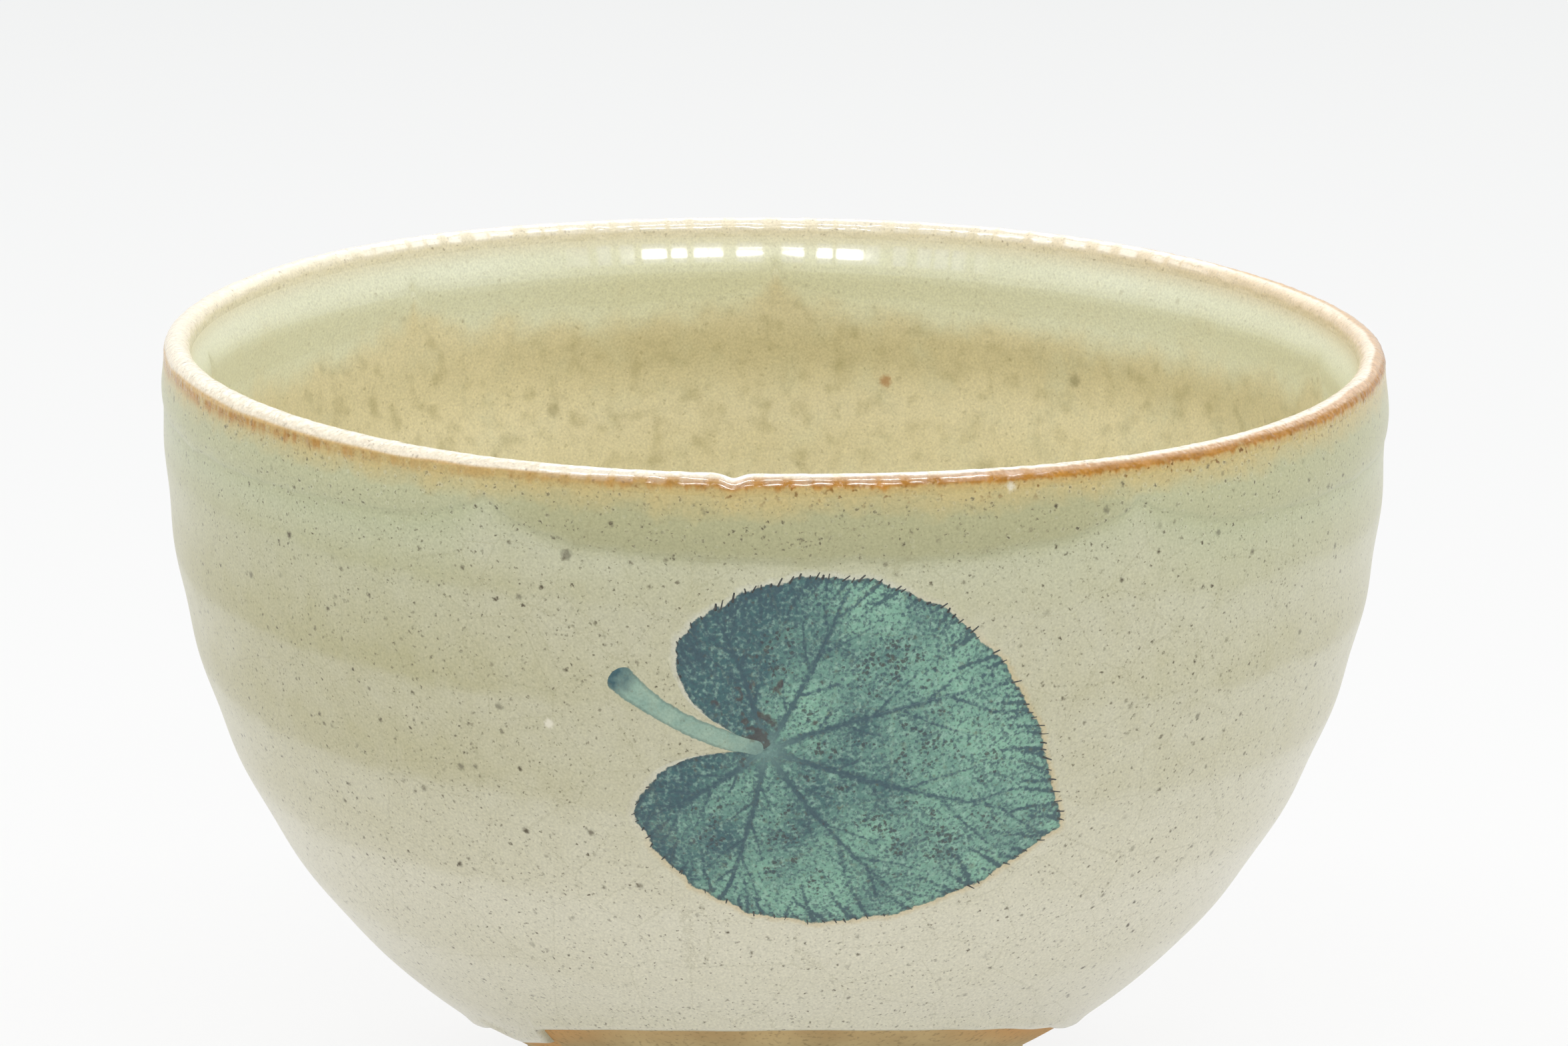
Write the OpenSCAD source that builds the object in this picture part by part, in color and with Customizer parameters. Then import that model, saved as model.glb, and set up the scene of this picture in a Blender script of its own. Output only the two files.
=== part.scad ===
// Matcha bowl: thrown stoneware under an ash glaze, with a green second dip at the rim,
// an iron-brown lip and a leaf print. Sizes are millimetres and +Z is up.
// The origin is the centre of the plane that the foot rests on, and the leaf faces -Y.

/* [Bowl] */
// Height from the resting plane to the top of the lip
bowl_h = 78; // [70:1:90]
// Radius of the glazed wall at its widest level
bowl_r = 59.75; // [54:0.25:66]
// Depth of the widest level below the top of the lip
belly_drop = 6; // [4.5:0.5:10]
// Depth below the foot's seat at which the outer curve would close
outer_over = 6.25; // [5:0.25:9]
// Fullness of the outer curve, where 2 is an ellipse
outer_full = 2.18; // [1.9:0.02:2.4]
// Fullness of the inner curve, where 2 is an ellipse
inner_full = 2.4; // [2.2:0.05:2.6]
// Thickness of the wall at the widest level, with its coats of glaze
wall_t = 3.8; // [3.4:0.1:6]
// Thickness of the floor from the foot's seat to the bottom of the well
floor_t = 5; // [4:0.5:8]

/* [Lip] */
// Thickness of the lip's round edge under its brown band
lip_t = 2; // [1.6:0.1:3.4]
// Distance that the lip leans in from the widest level
lip_lean = 0.4; // [0:0.1:1]
// Height of the brown band over the lip
lip_band_h = 1.8; // [1:0.1:3]

/* [Foot] */
// Height of the foot ring
foot_h = 8; // [6:0.5:10]
// Outer radius of the foot ring at its seat
foot_r = 25; // [22:0.5:26]
// Width of the foot ring at its seat
foot_w = 5.5; // [4:0.5:8]
// Distance that each side of the foot draws in towards its rim
foot_draw = 0.7; // [0.2:0.1:1.2]
// Bevel on the edges that the foot stands between
foot_bevel = 0.7; // [0.3:0.1:1]

/* [Glaze] */
// Thickness of the first coat
glaze_t = 0.5; // [0.4:0.05:0.8]
// Thickness of the second dip over it
dip_t = 0.3; // [0.15:0.05:0.5]
// Depth of the second dip's edge below the top of the lip, outside
outer_dip_h = 8; // [6:0.5:12]
// Depth of the second dip's edge below the top of the lip, inside
inner_dip_h = 12; // [6:0.5:18]
// Height of the glaze line at the front of the bowl
stop_h = 19.5; // [15:0.5:24]
// Slant of the glaze line, down towards the back
stop_slant = 17; // [12:0.5:22]
// Bare clay left between the glaze and the foot
foot_gap = 1.5; // [1:0.25:4]

/* [Leaf] */
// Distance of the leaf's stalk point left of the middle
leaf_left = 0.8; // [-6:0.1:6]
// Depth of the stalk point below the top of the lip
leaf_drop = 25.9; // [24:0.1:34]
// Direction of the leaf's tip, up from level
leaf_turn = -20.5; // [-60:0.5:60]
// Radius of the leaf about its stalk point
leaf_body = 16.6; // [12:0.1:18]
// Extra radius towards the tip, less by as much towards the stalk
leaf_swell = 4; // [2:0.1:5]
// Extra radius on the upper half, less by as much on the lower
leaf_skew = 0.9; // [0:0.1:2]
// Extra radius on the slant above the tip, less by as much on the slant below it
leaf_slant = 0.5; // [0:0.1:2]
// Length of the point at the tip
leaf_tip = 8.25; // [4:0.25:12]
// Angle over which the point fades into the margin
tip_fade = 30; // [12:1:40]
// Half the opening of the notch at the stalk
notch_half = 17; // [12:1:30]
// Angle over which each lobe rounds out from the notch
lobe_round = 25; // [20:1:45]
// Depth of the print in the glaze
print_t = 0.25; // [0.15:0.05:0.35]
// Length of the stalk
stalk_len = 15.2; // [10:0.2:18]
// Width of the stalk
stalk_w = 1.8; // [1.2:0.1:3]
// Width of a main vein where it leaves the stalk point
vein_w = 0.9; // [0.6:0.05:1.4]
// Width of a vein at its end
vein_end_w = 0.25; // [0.15:0.05:0.4]

/* [Hidden] */
$fn = 96;

// Steps along a belly curve, a neck, half of the lip and half of the leaf's margin
belly_steps = 26;
neck_steps = 4;
lip_steps = 6;
margin_steps = 45;
stroke_steps = 5;
end_steps = 8;

belly_z = bowl_h - belly_drop;
crest_z = bowl_h - dip_t;
lip_r = lip_t / 2;
lip_mid_z = crest_z - lip_r;
lip_mid_r = bowl_r - lip_lean - lip_r;
outer_depth = belly_z - foot_h + outer_over;
inner_r = bowl_r - wall_t;
inner_depth = belly_z - foot_h - floor_t;
reach = 2 * (bowl_r + bowl_h);

// A direction made one long
function unit(v) = v / norm(v);

// A point of a belly curve and the way it faces, at an angle t of 0 at its widest and 90 at its end
function belly(r, depth, full, t) = [
    [r * cos(t), belly_z - depth * pow(sin(t), 2 / full)],
    unit([2 * cos(t) / r, -full * pow(sin(t), 2 - 2 / full) / depth])
];

// A point of the neck between the widest level and the lip, where s runs from 0 to 1
function neck(r_low, r_high, s) =
    [r_low + (r_high - r_low) * (1 - cos(180 * s)) / 2, belly_z + (lip_mid_z - belly_z) * s];

// A point of the lip's round edge and the way it faces
function lip(a) = [[lip_mid_r, lip_mid_z] + lip_r * [cos(a), sin(a)], [cos(a), sin(a)]];

seat_angle = asin(pow((belly_z - foot_h) / outer_depth, outer_full / 2));

// The first coat's outside from the top of the lip down to the foot's seat
outer_skin = [
    for (i = [0:lip_steps]) lip(90 - 90 * i / lip_steps),
    for (i = [neck_steps - 1:-1:1]) [neck(bowl_r, lip_mid_r + lip_r, i / neck_steps), [1, 0]],
    for (i = [0:belly_steps]) belly(bowl_r, outer_depth, outer_full, seat_angle * i / belly_steps)
];

// The first coat's inside from the top of the lip down to the middle of the well, facing the tea
inner_skin = [
    for (i = [0:lip_steps]) lip(90 + 90 * i / lip_steps),
    for (i = [neck_steps - 1:-1:1]) [neck(inner_r, lip_mid_r - lip_r, i / neck_steps), [-1, 0]],
    for (i = [0:belly_steps])
        let (p = belly(inner_r, inner_depth, inner_full, 90 * i / belly_steps)) [p[0], -p[1]]
];

// A skin moved out by d, or in where d is less than 0
function shifted(skin, d) = [for (p = skin) p[0] + d * p[1]];

function backwards(points) = [for (i = [len(points) - 1:-1:0]) points[i]];

// A layer that turns all the way round the bowl, from one distance off a skin to another
module coat(skin, d_low, d_high) {
    rotate_extrude() polygon(concat(shifted(skin, d_high), backwards(shifted(skin, d_low))));
}

// All the space above a level
module above(z) {
    translate([0, 0, z]) cylinder(r = reach, h = reach);
}

// All the space between two levels
module between(z_low, z_high) {
    translate([0, 0, z_low]) cylinder(r = reach, h = z_high - z_low);
}

// All the space above the slanting glaze line
module above_stop() {
    front_y = -bowl_r * sqrt(1 - pow((belly_z - stop_h) / outer_depth, outer_full));
    translate([0, front_y, stop_h])
        rotate([-stop_slant, 0, 0])
            translate([-reach, -reach, 0])
                cube(2 * reach);
}

// The share of the leaf's radius that the notch leaves, at an angle from the tip
notch_dir = 189;
function notch(a) =
    let (off = min(abs(a - notch_dir), abs(a - notch_dir + 360)))
    pow(min(1, max(0, (off - notch_half) / lobe_round)), 1 / 3);

// Radius of the leaf's margin about its stalk point, at an angle from the tip
function margin(a) =
    let (body = leaf_body + leaf_swell * cos(a) + leaf_skew * sin(a) + leaf_slant * sin(2 * a))
    (body + leaf_tip * exp(-abs(a) / tip_fade)) * notch(a);

upper_end = notch_dir - notch_half;
lower_end = notch_dir + notch_half - 360;
leaf_outline = [
    for (i = [0:margin_steps]) let (a = upper_end * i / margin_steps) margin(a) * [cos(a), sin(a)],
    for (i = [margin_steps - 1:-1:1]) let (a = lower_end * i / margin_steps) margin(a) * [cos(a), sin(a)]
];

// A stroke along an arc, up one side and down the other, narrowing from w_start to w_end
function arc_share(x) = x == 0 ? 1 : sin(x) / (x * PI / 180);
function arc_point(start, length, heading, bend, s) =
    start + length * s * arc_share(bend * s / 2) * [cos(heading + bend * s / 2), sin(heading + bend * s / 2)];
function stroke(start, length, heading, bend, w_start, w_end) =
    let (side = function (s, way)
        arc_point(start, length, heading, bend, s)
        + way * (w_start + (w_end - w_start) * s) / 2 * [-sin(heading + bend * s), cos(heading + bend * s)])
    concat(
        [for (i = [0:stroke_steps]) side(i / stroke_steps, -1)],
        [for (i = [stroke_steps:-1:0]) side(i / stroke_steps, 1)]
    );

// Each main vein: angle from the tip, share of the way to the margin, and bend
main_veins = [
    [0, 0.9, 6], [42, 0.86, -12], [80, 0.86, 10], [122, 0.84, 14],
    [-38, 0.86, 12], [-78, 0.86, -10], [-118, 0.84, -14]
];
// Each fork of a main vein: share along the vein, turn away from it, and share of the vein's length
forks = [[0.34, 38, 0.4], [0.56, -36, 0.32]];

function vein_length(v) = v[1] * margin(v[0]);

module vein(v) {
    polygon(stroke([0, 0], vein_length(v), v[0], v[2], vein_w, vein_end_w));
    for (f = forks) {
        root = arc_point([0, 0], vein_length(v), v[0], v[2], f[0]);
        root_w = vein_w + (vein_end_w - vein_w) * f[0];
        polygon(stroke(root, vein_length(v) * f[2], v[0] + v[2] * f[0] + f[1], -f[1] / 3, root_w, vein_end_w));
    }
}

// A flat figure carried through the front of the bowl, about the leaf's stalk point
module through_front() {
    translate([-leaf_left, 0, bowl_h - leaf_drop])
        rotate([90, 0, 0])
            linear_extrude(height = reach)
                rotate(leaf_turn)
                    children();
}

module leaf_figure() {
    polygon(leaf_outline);
}

module vein_figure() {
    for (v = main_veins) {
        vein(v);
    }
}

// The stalk leaves the notch against the tip's direction and curls up to a round end
stalk_heading = 190;
stalk_bend = -34;
stalk_aim = stalk_heading + stalk_bend;
stalk_end = arc_point([0, 0], stalk_len, stalk_heading, stalk_bend, 1);
stalk_side = stroke([0, 0], stalk_len, stalk_heading, stalk_bend, stalk_w, stalk_w);
stalk_round = [
    for (i = [1:end_steps - 1])
        let (a = stalk_aim - 90 + 180 * i / end_steps) stalk_end + stalk_w / 2 * [cos(a), sin(a)]
];
stalk_outline = [
    for (i = [0:stroke_steps]) stalk_side[i],
    each stalk_round,
    for (i = [stroke_steps + 1:2 * stroke_steps + 1]) stalk_side[i]
];
module stalk_figure() {
    polygon(stalk_outline);
}

// The print's own layer, set into the first coat, and the room that it takes up there
module print_layer(proud = 0) {
    coat(outer_skin, -print_t, proud);
}

module bowl_wall() {
    seat = [[foot_r, foot_h], [0, foot_h]];
    outline = concat(
        shifted(outer_skin, -glaze_t),
        seat,
        backwards([for (i = [1:len(inner_skin) - 1]) inner_skin[i][0] - glaze_t * inner_skin[i][1]])
    );
    color("peru") rotate_extrude() polygon(outline);
}

module foot_ring() {
    rim_out = foot_r - foot_draw;
    rim_in = foot_r - foot_w + foot_draw;
    color("sienna")
        rotate_extrude()
            polygon([
                [foot_r, foot_h], [rim_out, foot_bevel], [rim_out - foot_bevel, 0],
                [rim_in + foot_bevel, 0], [rim_in, foot_bevel], [foot_r - foot_w, foot_h]
            ]);
}

module outer_glaze() {
    color("wheat")
        difference() {
            intersection() {
                coat(outer_skin, -glaze_t, 0);
                between(foot_h + foot_gap, bowl_h - lip_band_h);
                above_stop();
            }
            intersection() {
                print_layer(proud = glaze_t);
                through_front() leaf_figure();
            }
            intersection() {
                print_layer(proud = glaze_t);
                through_front() stalk_figure();
            }
        }
}

module inner_glaze() {
    color("burlywood")
        intersection() {
            coat(inner_skin, -glaze_t, 0);
            between(foot_h, bowl_h - lip_band_h);
        }
}

module outer_rim_dip() {
    color("darkseagreen")
        intersection() {
            coat(outer_skin, 0, dip_t);
            between(bowl_h - outer_dip_h, bowl_h - lip_band_h);
        }
}

module inner_rim_dip() {
    color("darkseagreen")
        intersection() {
            coat(inner_skin, 0, dip_t);
            between(bowl_h - inner_dip_h, bowl_h - lip_band_h);
        }
}

module lip_band() {
    color("saddlebrown")
        intersection() {
            union() {
                coat(outer_skin, -glaze_t, dip_t);
                coat(inner_skin, -glaze_t, dip_t);
            }
            above(bowl_h - lip_band_h);
        }
}

module leaf_blade() {
    color("cadetblue")
        intersection() {
            print_layer();
            through_front()
                difference() {
                    leaf_figure();
                    vein_figure();
                }
        }
}

module leaf_stalk() {
    color("mediumaquamarine")
        intersection() {
            print_layer();
            through_front()
                difference() {
                    stalk_figure();
                    leaf_figure();
                }
        }
}

module leaf_veins() {
    color("darkslategray")
        intersection() {
            print_layer();
            through_front()
                intersection() {
                    leaf_figure();
                    vein_figure();
                }
        }
}

bowl_wall();
foot_ring();
outer_glaze();
inner_glaze();
outer_rim_dip();
inner_rim_dip();
lip_band();
leaf_blade();
leaf_stalk();
leaf_veins();
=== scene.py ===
# %% [markdown]
# # A matcha bowl with a leaf print
#
# The real bowl is one fired body made of layers: thrown stoneware, a first coat of ash glaze inside
# and out, a second green dip at the rim, a brown lip where iron runs through the glaze, and a leaf
# printed under the glaze on the front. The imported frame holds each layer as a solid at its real
# size. This lesson models each layer again as a mesh with the marks of the hand, and finishes it.

# %% Load the frame
import functools
import math

import bpy
import numpy as np
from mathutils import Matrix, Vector, kdtree, noise


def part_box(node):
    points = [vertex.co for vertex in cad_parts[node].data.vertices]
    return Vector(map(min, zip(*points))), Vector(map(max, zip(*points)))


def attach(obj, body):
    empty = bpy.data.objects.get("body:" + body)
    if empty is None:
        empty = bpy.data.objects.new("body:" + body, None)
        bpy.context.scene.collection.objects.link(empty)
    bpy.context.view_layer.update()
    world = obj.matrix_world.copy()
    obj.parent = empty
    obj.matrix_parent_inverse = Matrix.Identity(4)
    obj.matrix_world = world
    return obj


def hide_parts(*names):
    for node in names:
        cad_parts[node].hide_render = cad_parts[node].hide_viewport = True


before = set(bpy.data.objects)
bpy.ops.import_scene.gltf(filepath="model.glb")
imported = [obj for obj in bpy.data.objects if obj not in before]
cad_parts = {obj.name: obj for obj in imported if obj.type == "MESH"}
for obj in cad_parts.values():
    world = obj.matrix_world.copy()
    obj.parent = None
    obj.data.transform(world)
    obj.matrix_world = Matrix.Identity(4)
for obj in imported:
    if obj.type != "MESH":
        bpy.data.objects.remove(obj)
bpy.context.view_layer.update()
print("layers in the frame:", ", ".join(sorted(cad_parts)))

# %% [markdown]
# ## Sizes
#
# Everything is in metres, so a millimetre is a named value. What it can't say, such as how full the
# curve of the belly is, is written once, where it is first needed.

# %% Sizes of the bowl
MM = 0.001
glaze_t = 0.5 * MM
dip_t = 0.3 * MM
bowl_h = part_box("lip_band")[1].z
bowl_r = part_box("outer_rim_dip")[1].x - dip_t
foot_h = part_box("foot_ring")[1].z
foot_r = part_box("foot_ring")[1].x
lip_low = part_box("lip_band")[0].z
outer_dip_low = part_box("outer_rim_dip")[0].z
inner_dip_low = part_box("inner_rim_dip")[0].z
glaze_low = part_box("outer_glaze")[0].z
well_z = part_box("inner_glaze")[0].z + glaze_t
print("bowl %.1f mm high and %.1f mm across" % (bowl_h / MM, 2 * bowl_r / MM))

# %% [markdown]
# ## The camera
#
# A long lens from 0.7 m away looks slightly down into the bowl, so the far wall of the inside shows
# above the near lip. A long lens keeps the round mouth from looking stretched.

# %% The camera
camera_back = 700 * MM
camera_over_lip = 151.7 * MM
camera_right = 0.88 * MM
camera_tip = math.radians(13.7)

lens = bpy.data.cameras.new("camera")
lens.sensor_width = 36
lens.lens = 168.3
camera = bpy.data.objects.new("camera", lens)
bpy.context.scene.collection.objects.link(camera)
camera.location = (camera_right, -camera_back, bowl_h + camera_over_lip)
camera.rotation_euler = (0.5 * math.pi - camera_tip, 0, 0)
bpy.context.scene.camera = camera
print("camera %.0f mm above the table" % (camera.location.z / MM))

# %% [markdown]
# ## Nodes, colours and layers
#
# A material is a tree of nodes. One small function adds a node, sets what it is told, links or
# fills its sockets and gives back one output. A list fills the sockets from the top, as the node
# shows them: Noise takes a place, a scale and its detail, Map Range a value, the two ends that it
# comes from and the two that it goes to, and Mix a share and two colours. A dict names the sockets
# instead. Colours are written as sRGB hex, the way a picture program shows them, and are turned
# into the linear values that light adds up in. Most finishes lay one colour over another where some
# number on the surface, such as a noise, goes from one end to the other, so a function does that for
# a table of layers.

# %% Functions for nodes, colours and layers
USUAL = {"Mix": {"data_type": "RGBA"}}
SMOOTH = {"interpolation_type": "SMOOTHSTEP"}


def linear(code):
    """A colour written as sRGB hex, in linear values."""
    parts = [int(code[i:i + 2], 16) / 255 for i in (1, 3, 5)]
    return [p / 12.92 if p <= 0.04045 else ((p + 0.055) / 1.055) ** 2.4 for p in parts] + [1.0]


def add_node(tree, kind, sockets=(), give=None, **settings):
    """Add one node, set it, link or fill its sockets, and return one of its outputs."""
    made = tree.nodes.new("ShaderNode" + kind)
    for name, value in {**USUAL.get(kind, {}), **settings}.items():
        setattr(made, name, value)
    pairs = zip([socket for socket in made.inputs if socket.enabled], sockets)
    if isinstance(sockets, dict):
        pairs = [(made.inputs[name], source) for name, source in sockets.items()]
    for socket, source in pairs:
        if isinstance(source, bpy.types.NodeSocket):
            tree.links.new(source, socket)
        else:
            socket.default_value = linear(source) if isinstance(source, str) else source
    return next((out for out in made.outputs if out.enabled and give in (None, out.name)), None)


def new_finish(name):
    """An empty material of that name, the function that adds its nodes, and its Object coordinates."""
    material = bpy.data.materials.new(name)
    material.use_nodes = True
    material.node_tree.nodes.clear()
    add = functools.partial(add_node, material.node_tree)
    return material, add, add("TexCoord", give="Object")


def layered(add, colour, layers, **how):
    """Lay colours over a colour: a row is a number, its two ends, the most that shows, and a colour."""
    for where, start, end, most, tint in layers:
        share = add("MapRange", [where, start, end, 0.0, most], **how)
        colour = add("Mix", [share, colour, tint])
    return colour


print("mid grey in linear values: %.3f" % linear("#808080")[0])

# %% [markdown]
# ## Table and light
#
# The bowl stands on a white table in a bright room: soft light from all sides, a wide panel behind
# that draws the pale line along the lip and lights the well, a panel on each side, a thin strip
# overhead for the crest of the lip, and a strip in front whose reflection in the well breaks into
# dashes. The table and the room show themselves white, straight or mirrored in the glaze, while the
# light that they send stays at a plain level. The table shows only a share of plain white, so that
# it keeps the bowl's shadow.

# %% The table
def seen_directly(add):
    """1 for a ray that shows a thing to the camera: straight, mirrored or through glass."""
    kinds = add("LightPath").node.outputs
    straight = add("Math", [kinds["Is Camera Ray"], kinds["Is Glossy Ray"]], operation="MAXIMUM")
    return add("Math", [straight, kinds["Is Transmission Ray"]], operation="MAXIMUM")


table_white = 0.86
table_far = 0.66
bpy.ops.object.select_all(action="DESELECT")
bpy.ops.mesh.primitive_plane_add(size=6)
table = bpy.context.object
table.name = "table"
table_finish, add, place = new_finish("white table")
share = add("Math", [seen_directly(add), table_white], operation="MULTIPLY")
lit = add("BsdfDiffuse", {"Color": "#f2f2f1"})
depth = add("SeparateXYZ", [place], give="Y")
far = add("MapRange", [depth, 0.0, table_far])
paper = add("Mix", [far, "#f9f9f9", "#ebecec"])
white = add("Emission", {"Color": paper, "Strength": 1.0})
both = add("MixShader", [share, lit, white])
add("OutputMaterial", {"Surface": both})
table.data.materials.append(table_finish)
print("table: %d nodes" % len(table_finish.node_tree.nodes))

# %% The light
room_light = 0.5
world = bpy.data.worlds.new("bright room")
bpy.context.scene.world = world
world.use_nodes = True
world.node_tree.nodes.clear()
add = functools.partial(add_node, world.node_tree)
level = add("Math", [seen_directly(add), 1 - room_light, room_light], operation="MULTIPLY_ADD")
room = add("Background", {"Color": "#ffffff", "Strength": level})
add("OutputWorld", {"Surface": room})


def softbox(name, place, size, power):
    """A rectangular lamp that faces the middle of the bowl."""
    data = bpy.data.lights.new(name, "AREA")
    data.shape = "RECTANGLE"
    data.size, data.size_y = size
    data.energy = power
    lamp = bpy.data.objects.new(name, data)
    bpy.context.scene.collection.objects.link(lamp)
    lamp.location = place
    aim = Vector((0, 0, 0.5 * bowl_h)) - lamp.location
    lamp.rotation_euler = aim.to_track_quat("-Z", "Y").to_euler()


softbox("panel behind", (0.0, 0.85, 0.8), (2.2, 0.7), 9.0)
softbox("strip overhead", (0.0, -0.25, 1.0), (1.6, 0.05), 3.0)
softbox("strip in front", (0.1, -0.8, 0.75), (0.8, 0.1), 2.4)
softbox("panel on the left", (-0.8, 0.0, 0.9), (0.9, 0.9), 3.4)
softbox("panel on the right", (0.8, 0.0, 0.9), (0.9, 0.9), 3.4)
bpy.context.scene.view_settings.view_transform = "Standard"
print("lamps: %d" % len(bpy.data.lights))

# %% [markdown]
# ## The line of the pot
#
# A thrown pot is a line turned about an axis. This one has a round lip, a short neck that leans in,
# and a belly whose curve is a little fuller than an ellipse. Each point of the line also knows
# which way it faces, so a coat of glaze is the same line moved along that direction.

# %% The line of the pot
belly_z = bowl_h - 6 * MM
outer_depth = belly_z - foot_h + 6.25 * MM
outer_full = 2.18
inner_r = bowl_r - 3.8 * MM
inner_depth = belly_z - well_z
inner_full = 2.4
lip_r = 1.0 * MM
lip_mid = np.array([bowl_r - 0.4 * MM - lip_r, bowl_h - dip_t - lip_r])


def pot_line(side, r, depth, full, last):
    """Points and facings down one side of the pot from the lip: side is 1 outside and -1 inside."""
    points, facing = [], []
    for a in np.linspace(0.5 * math.pi, 0, 15):
        face = np.array([side * math.cos(a), math.sin(a)])
        points.append(lip_mid + lip_r * face)
        facing.append(face)
    lip_edge = lip_mid[0] + side * lip_r
    for s in np.linspace(1, 0, 8)[1:-1]:
        lean = (1 - math.cos(math.pi * s)) / 2
        points.append([r + (lip_edge - r) * lean, belly_z + (lip_mid[1] - belly_z) * s])
        facing.append([side, 0])
    for t in np.linspace(0, last, 160):
        points.append([r * math.cos(t), belly_z - depth * math.sin(t) ** (2 / full)])
        face = np.array([2 * math.cos(t) / r, -full * math.sin(t) ** (2 - 2 / full) / depth])
        facing.append(side * face / np.linalg.norm(face))
    return np.array(points), np.array(facing)


seat_t = math.asin(((belly_z - foot_h) / outer_depth) ** (outer_full / 2))
outside = pot_line(1, bowl_r, outer_depth, outer_full, seat_t)
inside = pot_line(-1, inner_r, inner_depth, inner_full, 0.5 * math.pi)


def line_r(line, z):
    """Radius of a line of the pot at heights z."""
    return np.interp(-z, -line[0][:, 1], line[0][:, 0])


def stretch(line, z_high, z_low, rows):
    """Evenly spaced points, with their facings, of the part of a line between two heights."""
    points, facing = line
    run = np.concatenate([[0], np.cumsum(np.linalg.norm(np.diff(points, axis=0), axis=1))])
    ends = np.interp([-z_high, -z_low], -points[:, 1], run)
    at = np.linspace(*ends, rows)
    columns = np.column_stack([points, facing])
    picked = np.column_stack([np.interp(at, run, column) for column in columns.T])
    return picked[:, :2], picked[:, 2:]


tuck = 0.05 * MM


def coat_section(line, z_high, z_low, thickness, sunk, rows):
    """Cut face of a coat: down its outside, whose thickness may vary, and back up under it."""
    points, facing = stretch(line, z_high, z_low, rows)
    top = points + np.broadcast_to(thickness, rows)[:, None] * facing
    back, back_facing = stretch(line, z_high, z_low, max(rows // 4, 4))
    under = back - sunk * back_facing
    return np.concatenate([top, under[::-1]])


print("outer line: %d points, inner line: %d points" % (len(outside[0]), len(inside[0])))

# %% [markdown]
# ## Turning a layer
#
# A circle's vertices are laid along the cut face of a layer, and a Screw modifier turns that face
# once about the bowl's axis, as the wheel does. The modifier is applied, the loose edge that a face
# on the axis leaves is deleted, and the faces are made to point outwards.

# %% Turn a cut face
COLUMNS = 480
SAME_POINT = 0.0005 * MM


def turn(name, section, columns=COLUMNS):
    """Turn a closed cut face once about the axis of the bowl."""
    bpy.ops.object.select_all(action="DESELECT")
    bpy.ops.mesh.primitive_circle_add(vertices=len(section), radius=bowl_r)
    piece = bpy.context.object
    piece.name = name
    piece.data.name = name
    face = np.column_stack([section[:, 0], np.zeros(len(section)), section[:, 1]])
    piece.data.vertices.foreach_set("co", face.ravel())
    bpy.ops.object.modifier_add(type="SCREW")
    wheel = piece.modifiers[-1]
    wheel.steps = columns
    wheel.render_steps = columns
    wheel.use_merge_vertices = True
    wheel.merge_threshold = SAME_POINT
    bpy.ops.object.modifier_apply(modifier=wheel.name)
    bpy.ops.object.mode_set(mode="EDIT")
    bpy.ops.mesh.select_all(action="SELECT")
    bpy.ops.mesh.delete_loose()
    bpy.ops.mesh.select_all(action="SELECT")
    bpy.ops.mesh.normals_make_consistent(inside=False)
    bpy.ops.object.mode_set(mode="OBJECT")
    bpy.ops.object.shade_smooth_by_angle(angle=math.radians(40))
    return piece


def points_of(piece):
    """The vertices of a piece as rows of x, y, z."""
    flat = np.empty(3 * len(piece.data.vertices))
    piece.data.vertices.foreach_get("co", flat)
    return flat.reshape(-1, 3)


def move_to(piece, points):
    """Put the vertices of a piece at these rows of x, y, z."""
    piece.data.vertices.foreach_set("co", points.ravel())
    piece.data.update()


def paint(piece, **layers):
    """Write numbers on the vertices of a piece, one named layer at a time, for its finish to read."""
    for name, values in layers.items():
        layer = piece.data.attributes.new(name, "FLOAT", "POINT")
        layer.data.foreach_set("value", np.asarray(values, float))


print("a layer turns in %d steps" % COLUMNS)

# %% [markdown]
# ## The marks of the hand
#
# No thrown bowl is truly round. A finger drawn up the wall leaves a spiral of low ridges, the mouth
# leans and wavers, and this lip has a small dent in front. One function moves any point of the true
# round bowl to where the hand left it, and every layer goes through it, so that they still fit.

# %% What the hand did
ridge_pitch = 10.1 * MM
first_ridge = 12.2 * MM
ridge_t = 0.1 * MM
mouth_lean = math.radians(0.8)
mouth_dip = 0.25 * MM
mouth_oval = 0.15 * MM
lip_waver = 0.12 * MM
dent_az = math.radians(-3.6)
dent_width = math.radians(0.9)
dent_depth = 0.45 * MM


def around(points):
    """Azimuth from the front, growing to the right, of each point."""
    return np.arctan2(points[:, 0], -points[:, 1])


def fade(value, start, end):
    """A smooth step from 0 at start to 1 at end."""
    s = np.clip((value - start) / (end - start), 0, 1)
    return s * s * (3 - 2 * s)


def spiral(az, drop):
    """The throwing spiral: 1 on its ridges and -1 between them, at drops below the lip."""
    return np.cos(2 * math.pi * ((drop - first_ridge) / ridge_pitch - az / (2 * math.pi)))


def wiped(az, drop):
    """Slip that the finger wiped down each turn of the spiral: 0 to 1, ending in a sharper step."""
    turned = ((drop - first_ridge) / ridge_pitch - az / (2 * math.pi)) % 1
    return np.maximum(fade(turned, 0.25, 1), 1 - fade(turned, 0, 0.12))


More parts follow.
